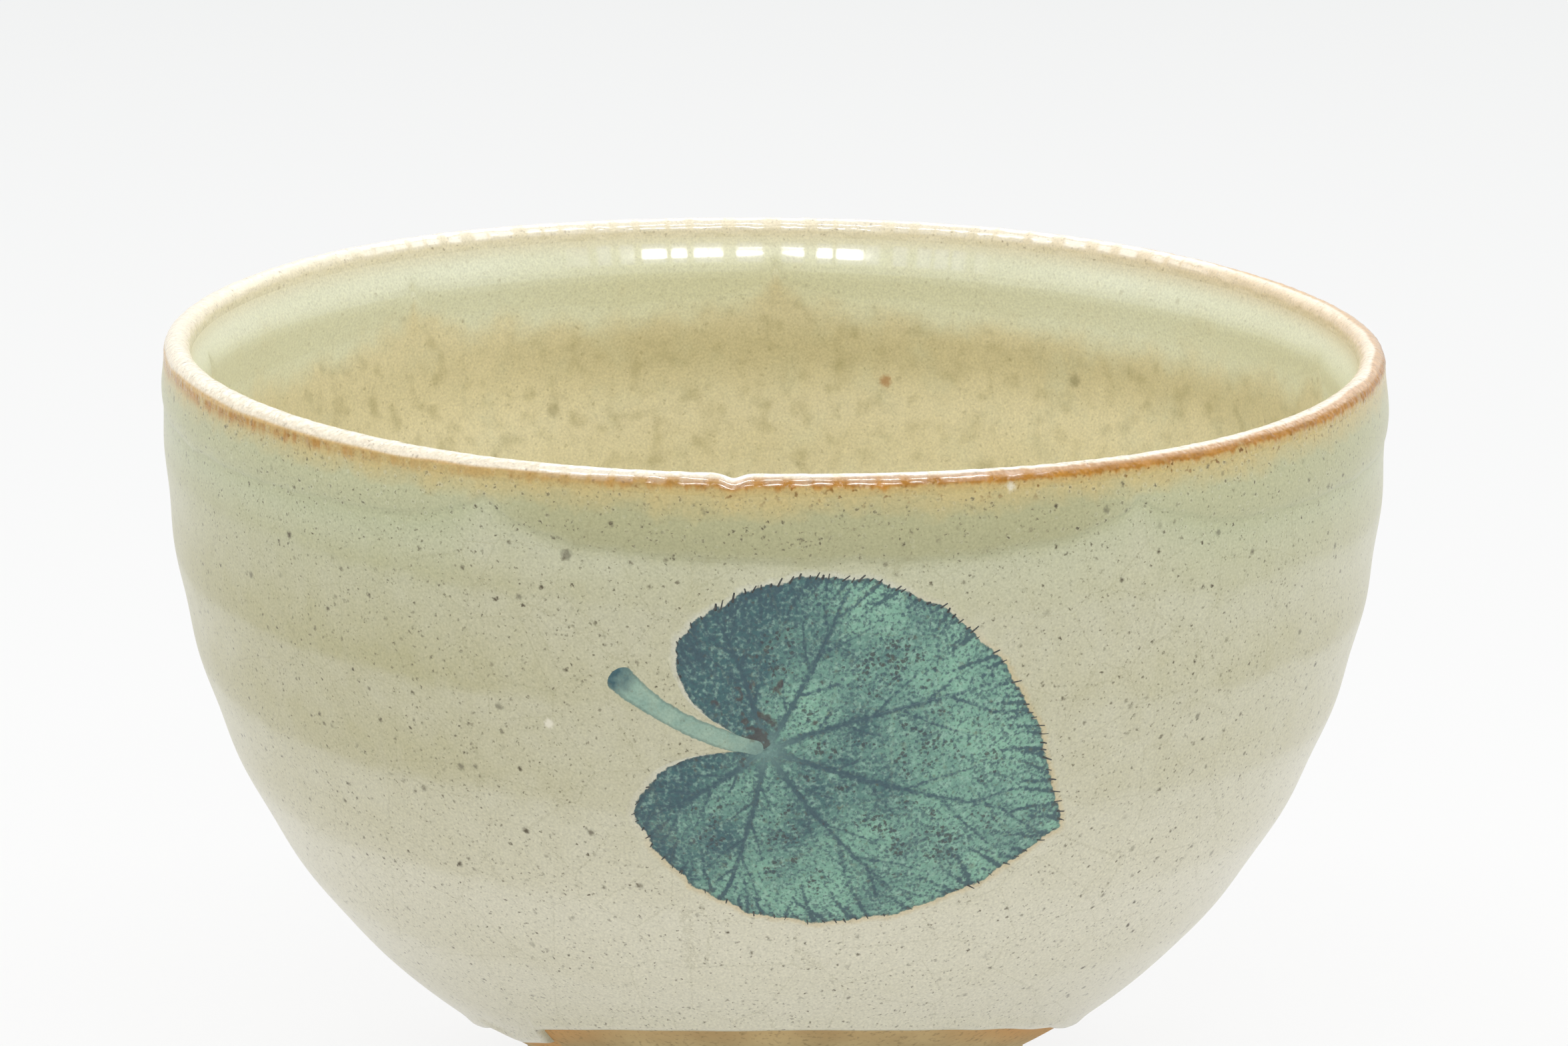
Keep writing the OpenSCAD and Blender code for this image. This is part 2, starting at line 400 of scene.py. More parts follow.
def hand_thrown(points):
    """Where points of the true round bowl lie on the bowl that came off the wheel."""
    az = around(points)
    r = np.hypot(points[:, 0], points[:, 1])
    z = points[:, 2]
    drop = bowl_h - z
    rise = fade(z, foot_h, bowl_h)
    wall = fade(drop, 5 * MM, 11 * MM) * fade(z, 14 * MM, 26 * MM)
    near_lip = np.exp(-(drop / (2.5 * MM)) ** 2)
    out = ridge_t * spiral(az, drop) * wall + mouth_oval * np.cos(2 * az + 0.6) * rise
    up = -math.tan(mouth_lean) * points[:, 0] * rise ** 2
    up -= mouth_dip * np.maximum(np.cos(az), 0) * rise ** 2
    up += lip_waver * np.sin(5 * az + 1) * near_lip
    up -= dent_depth * np.exp(-((az - dent_az) / dent_width) ** 2) * near_lip
    grown = (r + np.where(r > 1 * MM, out, 0)) / np.maximum(r, SAME_POINT)
    return np.column_stack([points[:, 0] * grown, points[:, 1] * grown, z + up])


def drift(points, size, seed):
    """A smooth random number from -1 to 1 at each point, which changes over that size."""
    return np.array([noise.noise(Vector(p) / size + Vector((seed, 0, 0))) for p in points])


def rim_drift(az, size, seed):
    """The same along the rim, as a number for each azimuth."""
    ring = np.column_stack([bowl_r * np.sin(az), -bowl_r * np.cos(az), np.zeros(len(az))])
    return drift(ring, size, seed)


def by_azimuth(az, stops):
    """A number for each azimuth, blended between pairs of degrees and a number."""
    degrees, numbers = np.array(stops).T
    return np.interp(np.degrees(az), degrees, numbers, period=360)


def reshape_edge(points, line, z_fixed, z_edge, new_edge):
    """Slide points along a line of the pot so that the edge at z_edge follows new_edge."""
    share = fade(points[:, 2], z_fixed, z_edge)
    z = points[:, 2] + share * (new_edge - z_edge)
    r = np.hypot(points[:, 0], points[:, 1])
    grown = (r + line_r(line, z) - line_r(line, points[:, 2])) / r
    return np.column_stack([points[:, 0] * grown, points[:, 1] * grown, z])


def settle(piece, node, material):
    """Give a piece its finish and tie it to the frame."""
    piece.data.materials.append(material)
    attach(piece, "root")
    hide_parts(node)
    made = (piece.name, len(piece.data.polygons), node, material.name, len(material.node_tree.nodes))
    print("%s: %d faces for %s, in %s of %d nodes" % made)


print("throwing spiral: a ridge every %.1f mm" % (ridge_pitch / MM))

# %% [markdown]
# ## The clay
#
# The wall is stoneware, bare below the glaze line and under the foot. Bare stoneware is matt, tan to
# brown, sandy to the touch, and toasted orange where it met the melted glaze. The wall's cut face
# runs from the lip down to the seat of the foot, across the recess with its trimming rings, and
# from the middle of the well up again.

# %% Where the first coat ends
stop_h = 19.5 * MM
stop_slant = math.radians(17)
run_from, run_to = math.radians(-52), math.radians(-37)
run_drop = 2.0 * MM


def glaze_line(az):
    """Height of the glaze line: high in front, low behind, with one thick run at the left."""
    front = line_r(outside, stop_h)
    z = np.full(len(az), stop_h)
    for _ in range(20):
        z = stop_h - math.tan(stop_slant) * (front - line_r(outside, z) * np.cos(az))
        z = np.maximum(z, glaze_low)
    run = fade(az, run_from, run_from + 0.12) * fade(az, run_to + 0.01, run_to - 0.01)
    wave = 0.25 * MM * rim_drift(az, 9 * MM, 3)
    return np.maximum(z + wave - run_drop * run, glaze_low - 0.5 * MM)


print("glaze line: %.1f mm up in front" % (stop_h / MM))

# %% Bare stoneware
# Stoneware, thrown, trimmed and fired bare: matt and sandy, in patches from tan to brown.
stoneware, add, place = new_finish("bare stoneware")
patch = add("TexNoise", [place, 1 / (6 * MM), 4.0])
clay = layered(add, "#bdac7f", [(patch, 0.35, 0.7, 1.0, "#a18f65")])
toast = add("Attribute", attribute_name="toast", give="Fac")
toasted = add("Mix", [toast, clay, "#c29358"])
sand = add("TexNoise", [place, 1 / (0.5 * MM), 3.0])
sanded = layered(add, toasted, [(sand, 0.55, 0.75, 0.7, "#75643c")])
rough = add("Bump", {"Height": sand, "Strength": 0.6, "Distance": 0.08 * MM})
shader = add("BsdfPrincipled", {"Base Color": sanded, "Roughness": 0.82, "Normal": rough})
add("OutputMaterial", {"Surface": shader})

# %% The wall
foot_w = 5.5 * MM
recess_r = foot_r - foot_w
recess_rings = 2.2 * MM
wall_out, wall_out_facing = stretch(outside, bowl_h - dip_t, foot_h, 80)
wall_in, wall_in_facing = stretch(inside, bowl_h - dip_t, well_z, 60)
across = np.linspace(recess_r, 0, 46)
ring_marks = 0.08 * MM * np.cos(2 * math.pi * across / recess_rings)
middle_nub = 0.7 * MM * np.exp(-(across / (2.2 * MM)) ** 2)
dished = 0.6 * MM * (1 - (across / recess_r) ** 2)
wall_section = np.concatenate([
    wall_out - glaze_t * wall_out_facing,
    np.column_stack([across, foot_h + dished + ring_marks - middle_nub]),
    (wall_in - glaze_t * wall_in_facing)[:0:-1],
])
wall_section[:, 0] = np.maximum(wall_section[:, 0], 0)
thrown_wall = turn("thrown_wall", wall_section)
points = points_of(thrown_wall)
az = around(points)
outside_foot = np.hypot(points[:, 0], points[:, 1]) > foot_r
near_glaze = fade(points[:, 2] - glaze_line(az), -3 * MM, 0) * outside_foot
toast_share = [(-38, 1), (-22, 0.35), (22, 0.3), (38, 0.9), (180, 0.6)]
paint(thrown_wall, toast=near_glaze * by_azimuth(az, toast_share))
move_to(thrown_wall, hand_thrown(points))
settle(thrown_wall, "bowl_wall", stoneware)

# %% The foot
foot_draw = 0.7 * MM
foot_bevel = 0.7 * MM
rim_out = foot_r - foot_draw
rim_in = recess_r + foot_draw
foot_sides = [
    (foot_r, foot_h + 0.3 * MM), (foot_r - 0.35 * MM, 0.6 * foot_h), (rim_out, foot_bevel),
    (rim_out - 0.25 * foot_bevel, 0.25 * foot_bevel), (rim_out - foot_bevel, 0),
    (rim_in + foot_bevel, 0), (rim_in + 0.25 * foot_bevel, 0.25 * foot_bevel), (rim_in, foot_bevel),
    (recess_r + 0.3 * MM, 0.6 * foot_h), (recess_r, foot_h + 0.7 * MM),
]
trimmed_foot = turn("trimmed_foot", np.array(foot_sides))
paint(trimmed_foot, toast=np.zeros(len(trimmed_foot.data.vertices)))
settle(trimmed_foot, "foot_ring", stoneware)

# %% [markdown]
# ## What every coat of glaze shares
#
# Ash glaze is glass with fine bubbles and grains, iron specks that bloom up from the clay, a faint
# net of hair cracks and a soft gloss. Specks of four sizes come from Voronoi cells, whose distance
# output is a round dot in each cell, and the cracks are the edges of larger cells. Noise makes the
# dots ragged, and a random number for each cell makes some fainter. The grain is fine noise, which
# also lifts the surface a little, so that highlights break up. The few largest specks are single
# spots, each a distance from its own place. Along the rim the glaze drew up into glassy beads,
# which are a clear coat that comes and goes along the lip.

# %% Specks, grain and gloss
# Each size of speck is the width of its cells and of its dots, in millimetres, and its strength.
SPECKS = [(0.5, 0.15, 0.8), (0.95, 0.22, 1.0), (2.0, 0.34, 1.0), (5.5, 0.52, 1.0)]
crackle_w = 7 * MM
bead_w = 2.2


def specked(add, place, colour, iron="#544b35", much=1.0, spots=()):
    """Grain, iron specks and single spots over a colour."""
    grain = add("TexNoise", [place, 1 / (0.24 * MM), 2.0])
    light = add("MapRange", [grain, 0.25, 0.75, 0.87, 1.12])
    over = add("VectorMath", [colour, light], operation="SCALE")
    wobble = add("TexNoise", [place, 1 / (0.3 * MM), 1.0], give="Color")
    centred = add("VectorMath", [wobble, (0.5, 0.5, 0.5)], operation="SUBTRACT")
    pushed = add("VectorMath", [centred, 0.5 * MM], operation="SCALE")
    ragged = add("VectorMath", [place, pushed], operation="ADD")
    for cell, dot, strength in SPECKS:
        gap = add("TexVoronoi", [ragged, 1 / (cell * MM)])
        full = add("Math", [gap.node.outputs["Color"], 1.3 * strength * much], operation="MULTIPLY")
        over = layered(add, over, [(gap, dot / cell, 0.1 * dot / cell, full, iron)], **SMOOTH)
    crack = add("TexVoronoi", [ragged, 1 / crackle_w], feature="DISTANCE_TO_EDGE")
    over = layered(add, over, [(crack, 0.012, 0.0, 0.25 * much, "#8a8460")])
    for centre, size, strength, tint in spots:
        gap = add("VectorMath", [ragged, centre], operation="DISTANCE")
        over = layered(add, over, [(gap, 0.62 * size, 0.2 * size, strength, tint)], **SMOOTH)
    return over, grain


def glossy(add, colour, grain, lift=0.006 * MM, roughness=0.28, coat=0.0, sheen=0.5):
    """Fired glass over a colour, with the grain lifting its surface."""
    skin = add("Bump", {"Height": grain, "Strength": 1.0, "Distance": lift})
    shader = add("BsdfPrincipled", {
        "Base Color": colour, "Roughness": roughness, "Specular IOR Level": sheen, "Normal": skin,
        "Coat Weight": coat, "Coat IOR": 2.2, "Coat Roughness": 0.1})
    add("OutputMaterial", {"Surface": shader})


def beads(add):
    """Where the glaze drew up into glassy beads along the rim: 1 on a bead, 0 between."""
    round_rim = add("Attribute", attribute_name="round_rim", give="Fac")
    beaded = add("Attribute", attribute_name="beaded", give="Fac")
    bead = add("TexVoronoi", [round_rim, 1 / bead_w], voronoi_dimensions="1D")
    return add("MapRange", [bead, 0.46, 0.26, 0.0, beaded])


print("specks of %d sizes" % len(SPECKS))

# %% [markdown]
# ## Zones of the outside
#
# The rim was dipped again, a part at a time, so the second coat ends in scallops. It is olive where
# it lies thick and tan near the lip, where iron runs through it in a brown line with short drips.
# Below the scallops a pale cloud shows where two coats melted together, and further down the ridges
# of the throwing spiral show tan. These zones follow the wall, so they are numbers painted on the
# vertices of every layer outside, and no joint shows where one layer ends and the next begins.

# %% Scallops of the dip
def scallops(az, cusps, shallow, dips):
    """Depth in millimetres of a dipped edge, and how much glaze it took: it hangs between cusps."""
    cusps = np.radians(cusps)
    a = (az - cusps[0]) % (2 * math.pi) + cusps[0]
    k = np.clip(np.searchsorted(cusps, a, side="right") - 1, 0, len(dips) - 1)
    s = (a - cusps[k]) / (cusps[k + 1] - cusps[k])
    hang = np.sqrt(np.maximum(1 - np.abs(2 * s - 1) ** 3.5, 0))
    deepest, rich = np.array(dips).T
    return shallow + (deepest[k] - shallow) * hang, rich[k] * fade(hang, 0, 0.9)


outer_shallow = 3.4
outer_cusps = [-26, 34, 104, 160, 215, 270, 334]
outer_dips = [(8.0, 1.0), (8.6, 0.35), (7.5, 0.7), (9.0, 0.4), (8.0, 0.8), (7.0, 0.2)]
inner_cusps = [-40, 42, 104, 180, 222, 264, 320]
inner_shallow = 6.4
inner_dips = [(12, 1), (11, 1), (10.4, 1), (10.2, 1), (10.8, 1), (13, 1)]


def outer_dip_edge(az):
    """Height of the dip's edge outside."""
    depth = scallops(az, outer_cusps, outer_shallow, outer_dips)[0]
    return bowl_h - depth * MM - 0.35 * MM * rim_drift(az, 5 * MM, 11)


def inner_dip_edge(az):
    """Height of the dip's edge inside."""
    depth = scallops(az, inner_cusps, inner_shallow, inner_dips)[0]
    return bowl_h - depth * MM - 0.8 * MM * rim_drift(az, 6 * MM, 17)


print("dip: %d scallops outside, %d inside" % (len(outer_dips), len(inner_dips)))

# %% Paint the zones
brown_line = [(-90, 1.4), (-60, 1.4), (-40, 1.2), (-20, 0.8), (-8, 0.66), (0, 0.62), (20, 0.58), (40, 0.52),
              (60, 0.62), (75, 0.65), (90, 0.6), (130, 0.5), (150, 0.9), (180, 1.1), (230, 1.3)]
iron_share = [(-90, 0.5), (-62, 0.8), (-45, 0.75), (-33, 0.3), (-18, 0.45), (-8, 0.9), (0, 1.1), (40, 1.4),
              (75, 1.4), (110, 1.0), (140, 0.4), (180, 0.4), (230, 0.5)]
comb_share = [(-70, 0.7), (-35, 0.8), (-20, 0.4), (0, 0.1), (25, 0.0), (70, 0.1), (110, 0.3), (180, 0.6)]
# Where the white of the crest begins round the roll of the lip: partly pale glaze, partly a painted
# highlight.
white_and_highlight_from = [(-90, 20), (-35, 20), (-22, 34), (-12, 48), (0, 60), (20, 64), (35, 64), (55, 66), (75, 76),
              (95, 94), (118, 108), (150, 70), (180, 45), (215, 35), (235, 20)]
cloud_share = [(-90, 0.9), (-30, 1.0), (-22, 0.45), (0, 0.35), (25, 0.6), (40, 0.95), (90, 0.8), (180, 0.7)]
tan_base = [(-90, 0.4), (-60, 0.58), (-35, 0.48), (-15, 0.25), (0, 0.2), (25, 0.1), (45, 0.1), (65, 0.08),
            (90, 0.1), (180, 0.2), (250, 0.25)]
tan_swing = [(-90, 0.55), (-60, 0.5), (-35, 0.48), (-15, 0.18), (0, 0.15), (25, 0.15), (45, 0.3), (65, 0.45),
             (90, 0.5), (180, 0.4), (250, 0.5)]


def paint_outside(piece, points, roll=0):
    """Paint every zone of the outside on a piece, in millimetres, degrees or shares."""
    az = around(points)
    drop = bowl_h - points[:, 2]
    over_edge = (points[:, 2] - outer_dip_edge(az)) / MM
    below = drop / MM - by_azimuth(az, brown_line) - 0.2 * rim_drift(az, 7 * MM, 41)
    slip = wiped(az + 0.35 * drift(points, 18 * MM, 5), drop + 0.8 * MM * drift(points, 9 * MM, 6))
    tan = by_azimuth(az, tan_base) + by_azimuth(az, tan_swing) * slip
    under_edge = np.where(over_edge < 0, np.exp(over_edge / 5), 1)
    # How far round the lip the crest is white: partly pale glaze on the edge, partly a painted highlight.
    rolled = np.broadcast_to(roll, len(points)) - by_azimuth(az, white_and_highlight_from) - 12 * rim_drift(az, 6 * MM, 43)
    # low: the wall grows paler towards the foot, which is painted light bounced up from the white table.
    paint(piece, drop=drop / MM, second=np.clip(over_edge, -10, 10), below=below,
          rich=scallops(az, outer_cusps, outer_shallow, outer_dips)[1],
          iron=by_azimuth(az, iron_share), comb=by_azimuth(az, comb_share),
          crest=fade(below, 0.0, -0.3), white=fade(rolled, -8, 8),
          tan=tan * fade(drop, 7 * MM, 12 * MM), cloud=under_edge * by_azimuth(az, cloud_share),
          low=fade(drop, 22 * MM, 56 * MM) * (1 - 0.3 * fade(drop, 42 * MM, 58 * MM)))


OUTER_ZONES = "tan low cloud drop rich second below comb iron white crest".split()
print("zones outside:", ", ".join(OUTER_ZONES))


# %% Colours of the outside
def outside_colour(add, place):
    """Colour of the outside, from the lip to the glaze line, before its specks."""
    tan, low, cloud, drop, rich, second, below, comb, iron, white, crest = [
        add("Attribute", attribute_name=zone, give="Fac") for zone in OUTER_ZONES]
    mottle = add("TexNoise", [place, 1 / (3.2 * MM), 4.0, 0.6])
    uneven = add("MapRange", [mottle, 0.25, 0.75, -1.0])

    # The first coat: grey cream, tan where slip was wiped, paler below with painted light, clouded under the
    # rim.
    band = add("Math", [uneven, 0.22, tan], operation="MULTIPLY_ADD")
    ground = layered(add, "#c1bea5", [(band, 0.0, 1.0, 1.0, "#aea983")])
    # Paler below: painted light bounced up from the white table.
    painted_table_bounce_share = add("Math", [low, 0.8], operation="MULTIPLY")
    painted_table_light_ground = add("Mix", [painted_table_bounce_share, ground, "#dad6c5"])
    clouded = add("Mix", [cloud, painted_table_light_ground, "#afb38f"])

    # The second coat: tan under the lip, olive or grey-green below, with a faint edge and bubbles.
    level = add("Math", [uneven, 0.9, drop], operation="MULTIPLY_ADD")
    olive = add("Mix", [rich, "#b5b692", "#a8a67f"])
    dip = layered(add, "#bfae78", [(level, 1.7, 4.0, 1.0, olive)])
    ragged = add("Math", [uneven, 0.3, second], operation="MULTIPLY_ADD")
    dipped = layered(add, clouded, [(ragged, -1.1, 1.3, 1.0, dip)], **SMOOTH)
    edge = add("Math", [ragged, 0.3, 0.3], operation="COMPARE")
    edge_line = add("Math", [edge, 0.1], operation="MULTIPLY")
    edged = add("Mix", [edge_line, dipped, "#84886a"])
    bubble = add("TexVoronoi", [place, 1 / (0.95 * MM)])
    bubble_ring = add("Math", [bubble, 0.2, 0.05], operation="COMPARE")
    bubble_share = add("Math", [cloud, 0.2], operation="MULTIPLY")
    bubbles = add("Math", [bubble_ring, bubble_share], operation="MULTIPLY")
    bubbled = add("Mix", [bubbles, edged, "#d5d6bd"])

    # The iron: a brown line under the crest that drips in streaks, and at the left a comb of dabs.
    tall = add("Mapping", {"Vector": place, "Scale": (1, 1, 0.2)})
    streak = add("TexNoise", [tall, 1 / (0.8 * MM), 2.0])
    reach = add("MapRange", [streak, 0.45, 0.72, 0.5, 1.05])
    above_line = add("Math", [below, -2.6], operation="MULTIPLY")
    dab = add("Math", [comb, 0.7, reach], operation="MULTIPLY_ADD")
    under_line = add("Math", [below, dab], operation="DIVIDE")
    away = add("Math", [above_line, under_line], operation="MAXIMUM")
    tooth = add("MapRange", [streak, 0.42, 0.58])
    combed = add("Mix", [comb, 1.0, tooth], data_type="FLOAT")
    broken = add("TexNoise", [place, 1 / (2.2 * MM), 3.0])
    iron_most = add("Math", [iron, combed], operation="MULTIPLY")
    iron_here = add("MapRange", [broken, 0.2, 0.45, 0.0, iron_most])
    blot = add("TexNoise", [place, 1 / (0.6 * MM), 1.0])
    blot_most = add("MapRange", [below, 2.6, 0.2, 0.0, iron])
    brown = add("Mix", [broken, "#80500a", "#c68d34"])
    glow = add("MapRange", [below, 1.2, 0.0, 0.0, iron])
    glow_step = add("Math", [glow, broken], operation="MULTIPLY")
    golden = add("Mix", [glow_step, bubbled, "#b98a40"])
    blotted = layered(add, golden, [(blot, 0.64, 0.74, blot_most, "#79551f")])
    browned = layered(add, blotted, [(away, 1.0, 0.2, iron_here, brown)], **SMOOTH)

    # The face of the lip: peach where the iron runs thin, golden at the left, white on the crest.
    peach = add("Mix", [broken, "#b28d6b", "#cba57c"])
    face = add("Mix", [comb, peach, "#cdad6c"])
    # The white of the crest is partly pale glaze and partly a painted highlight.
    top = add("Mix", [white, face, "#e4d9c3"])
    return add("Mix", [crest, browned, top])


# %% Single spots of the outside
def spot_on(line, az, drop):
    """Point of a line of the pot, at degrees from the front and millimetres below the lip."""
    z = bowl_h - drop * MM
    r = line_r(line, z)
    return (r * math.sin(math.radians(az)), -r * math.cos(math.radians(az)), z)


dark_spots = [(-18.3, 8.0, 1.2), (-6.1, 3.4, 1.0), (-12.5, 4.6, 0.9), (30.3, 5.1, 0.9), (-30.5, 30.1, 0.9),
              (-28.9, 29.8, 0.7), (-25.5, 23.3, 0.9), (-22.8, 12.4, 0.8), (43.4, 9.3, 0.8), (63, 14.6, 0.8),
              (-56, 15.9, 0.8), (43.2, 27.2, 0.7), (57.7, 21.9, 0.7), (150, 12, 1.0), (-140, 20, 0.9)]
pale_spots = [(21.0, 2.0, 1.2), (-20.7, 24.5, 1.1)]
wall_spots = [(spot_on(outside, az, drop), size * MM, 0.6, "#4b4531") for az, drop, size in dark_spots]
wall_spots += [(spot_on(outside, az, drop), size * MM, 0.8, "#dfdac8") for az, drop, size in pale_spots]
print("single spots outside: %d" % len(wall_spots))

# %% [markdown]
# ## The first coat, outside
#
# The coat is a thin shell that ends in a rounded bead at the glaze line. The shell is turned true,
# and its lower edge is then slid along the wall to where the real coat stopped.

# %% The first coat outside
# Ash glaze, dipped once and fired: a soft gloss over grey cream, with specks bled from the clay.
ash_outside, add, place = new_finish("cream ash glaze")
colour, grain = specked(add, place, outside_colour(add, place), spots=wall_spots)
glossy(add, colour, grain)

ash_rows = 130
ash_still = 45 * MM
down = np.linspace(0, 1, ash_rows)
bead = 0.2 * MM * np.exp(-((down - 0.97) / 0.014) ** 2)
rolled = glaze_t * fade(down, 0.982, 1) ** 2
ash_section = coat_section(outside, lip_low, glaze_low, bead - rolled, glaze_t + tuck, ash_rows)
ash_coat = turn("ash_coat_outside", ash_section)
points = points_of(ash_coat)
points = reshape_edge(points, outside, ash_still, glaze_low, glaze_line(around(points)))
paint_outside(ash_coat, points)
move_to(ash_coat, hand_thrown(points))
settle(ash_coat, "outer_glaze", ash_outside)

# %% [markdown]
# ## The green dip, outside
#
# The dip is a thinner shell on the first coat, feathered to nothing at its edge, so that its
# scallops show as a soft step.

# %% The dip outside
dip_rows = 40
down = np.linspace(0, 1, dip_rows)
dip_cover = dip_t * np.sqrt(1 - 0.995 * fade(down, 0.55, 1)) - 0.08 * MM * fade(down, 0.85, 1)
# Ash glaze dipped a second time: thicker, so it fires olive green, and tan where it ran thin.
green_outside, add, place = new_finish("olive green glaze")
colour, grain = specked(add, place, outside_colour(add, place), spots=wall_spots)
glossy(add, colour, grain)

dip_section = coat_section(outside, lip_low, outer_dip_low, dip_cover, 2 * tuck, dip_rows)
dip_outside = turn("green_dip_outside", dip_section)
points = points_of(dip_outside)
points = reshape_edge(points, outside, lip_low, outer_dip_low, outer_dip_edge(around(points)))
paint_outside(dip_outside, points)
move_to(dip_outside, hand_thrown(points))
settle(dip_outside, "outer_rim_dip", green_outside)

# %% [markdown]
# ## Zones of the inside
#
# The well is warmer, khaki to tan, with soft darker spots where the glaze pooled. The green dip
# hangs from the lip and melts into it with a mottled edge, and a darker ring shows where the run of
# the dip came to rest. These zones are painted on both layers, and noise moves their edges.

# %% Paint the inside
# How pale the top of the lip is inside: partly pale glaze, partly a painted highlight.
lip_pale_and_highlight = [(-90, 0.8), (-20, 0.85), (0, 0.6), (30, 0.5), (60, 0.35), (100, 0.15), (130, 0.4),
            (160, 0.8), (205, 0.85), (235, 0.9)]
rest_drop = 13 * MM
rest_share = [(-90, 0.2), (0, 0.3), (100, 0.2), (140, 0.55), (165, 0.7), (195, 0.7), (210, 0.5),
              (225, 0.25)]
# Painted light from the sides: how much paler each part of the well is, by azimuth.
painted_side_light = [(0, 1), (90, 0.4), (115, 0.4), (140, 0.9), (162, 0.5), (180, 0.1), (195, 0.2), (212, 0.9),
             (245, 0.6), (270, 0.7)]
well_beads = [(155, 0), (161, 1), (199, 1), (205, 0)]
lip_beads = [(-24, 0), (-16, 1), (18, 1), (26, 0), (125, 0), (140, 1), (220, 1), (235, 0)]
well_bead_top, well_bead_low = 2.3 * MM, 4.2 * MM
bead_soft = 0.3 * MM
seam = math.radians(-100)


def paint_inside(piece, points, bead_share, bead_top, bead_low):
    """Paint the zones of the inside on a piece."""
    az = around(points)
    drop = bowl_h - points[:, 2]
    on_beads = fade(drop, bead_top, bead_top + bead_soft) * fade(drop - bead_low, bead_soft, 0)
    paint(piece, side=by_azimuth(az, painted_side_light), inner_pale=by_azimuth(az, lip_pale_and_highlight),
          wash=fade(points[:, 2] - inner_dip_edge(az), -2.5 * MM, 3.0 * MM),
          rest=np.exp(-((drop - rest_drop) / (3.4 * MM)) ** 2) * by_azimuth(az, rest_share),
          inner_crest=fade(drop, 3.6 * MM, 0.4 * MM), beaded=on_beads * by_azimuth(az, bead_share),
          round_rim=(az - seam) % (2 * math.pi) * bowl_r / MM)


INNER_ZONES = "side rest wash inner_pale inner_crest".split()
print("zones inside:", ", ".join(INNER_ZONES))


# %% Colours of the inside
def inside_colour(add, place):
    """Colour of the inside, before its specks."""
    side, rest, wash, pale, crest = [
        add("Attribute", attribute_name=zone, give="Fac") for zone in INNER_ZONES]
    mottle = add("TexNoise", [place, 1 / (4.5 * MM), 4.0, 0.6])
    khaki = add("Mix", [mottle, "#cac098", "#d8d0ae"])
    # Paler at the sides of the well: painted light from the sides.
    painted_side_light_khaki = add("Mix", [side, khaki, "#ddd4b0"])
    uneven = add("MapRange", [mottle, 0.25, 0.75, -0.35, 0.35])
    rest_mix = add("Math", [rest, uneven], operation="ADD")
    rested = layered(add, painted_side_light_khaki, [(rest_mix, 0.0, 1.2, 0.9, "#b9ae81")])
    pool = add("TexNoise", [place, 1 / (2.0 * MM), 1.0])
    moved = add("Math", [wash, uneven], operation="ADD")
    # The green is paler at the sides too: painted light from the sides.
    green = add("Mix", [side, "#d8d8b9", "#dcdfc8"])
    washed = layered(add, rested, [(pool, 0.45, 0.88, 0.55, "#a0976a"), (moved, -0.1, 1.0, 1.0, green)],
                     **SMOOTH)
    # The top of the lip inside is paler: partly pale glaze and partly a painted highlight.
    top = add("Mix", [pale, "#dcc3a2", "#e9e2c9"])
    return add("Mix", [crest, washed, top])


# %% Single spots of the inside
well_spots = [(spot_on(inside, az, drop), size * MM, strength, tint) for az, drop, size, strength, tint in [
    (168, 16.8, 1.5, 0.7, "#a5713a"), (146, 15, 1.6, 0.5, "#716a48"), (205, 19, 1.7, 0.4, "#7d754d")]]
print("single spots inside: %d" % len(well_spots))

# %% The first coat inside
# Ash glaze that ran down and pooled in the well: warmer, khaki, with soft darker spots.
khaki_inside, add, place = new_finish("khaki ash glaze")
colour, grain = specked(add, place, inside_colour(add, place), "#857b52", 0.4, well_spots)
glossy(add, colour, grain)

well_section = coat_section(inside, lip_low, well_z, 0, glaze_t + tuck, 110)
well_section[:, 0] = np.maximum(well_section[:, 0], 0)
well_coat = turn("ash_coat_inside", well_section)
points = points_of(well_coat)
paint_inside(well_coat, points, well_beads, well_bead_top, well_bead_low)
move_to(well_coat, hand_thrown(points))
settle(well_coat, "inner_glaze", khaki_inside)

# %% The dip inside
# The second dip inside, fired thin: pale green, with a row of glassy beads under the lip.
green_inside, add, place = new_finish("pale green glaze")
colour, grain = specked(add, place, inside_colour(add, place), "#857b52", 0.3)
glossy(add, colour, grain, coat=beads(add))

melted = dip_t * (1 - fade(down, 0.15, 0.95)) - 0.05 * MM * fade(down, 0.7, 1)
dip_section = coat_section(inside, lip_low, inner_dip_low, melted, 2 * tuck, dip_rows)
dip_inside = turn("green_dip_inside", dip_section)
points = points_of(dip_inside)
points = reshape_edge(points, inside, lip_low, inner_dip_low, inner_dip_edge(around(points)))
paint_inside(dip_inside, points, well_beads, well_bead_top, well_bead_low)
move_to(dip_inside, hand_thrown(points))
settle(dip_inside, "inner_rim_dip", green_inside)

# %% [markdown]
# ## The lip
#
# Glaze runs off a sharp edge, so the lip is thin, lumpy and bright: white on its crest, partly pale glaze
# and partly a painted highlight, peach or gold where the iron shows through, brown beneath. Its lumps
# break the highlights into dashes, so the larger ones are real lumps of the mesh, and this layer is
# turned in finer steps than the others.

# %% The lip
# Ash glaze drawn thin over the edge, with iron in it: white, peach and brown, lumpy and bright.
# Its white is partly a painted highlight.
iron_lip, add, place = new_finish("iron brown glaze on the lip")
out = add("Attribute", attribute_name="out", give="Fac")
lipped = add("Mix", [out, inside_colour(add, place), outside_colour(add, place)])
colour, grain = specked(add, place, lipped, "#5d4424", 0.5, wall_spots[-2:])
lump_noise = add("TexNoise", [place, 1 / (0.8 * MM), 1.0])
lumpy = add("Attribute", attribute_name="lumpy", give="Fac")
lumps = add("Math", [lump_noise, lumpy], operation="MULTIPLY")
glossy(add, colour, lumps, lift=0.26 * MM, roughness=0.2, coat=beads(add), sheen=0.35)

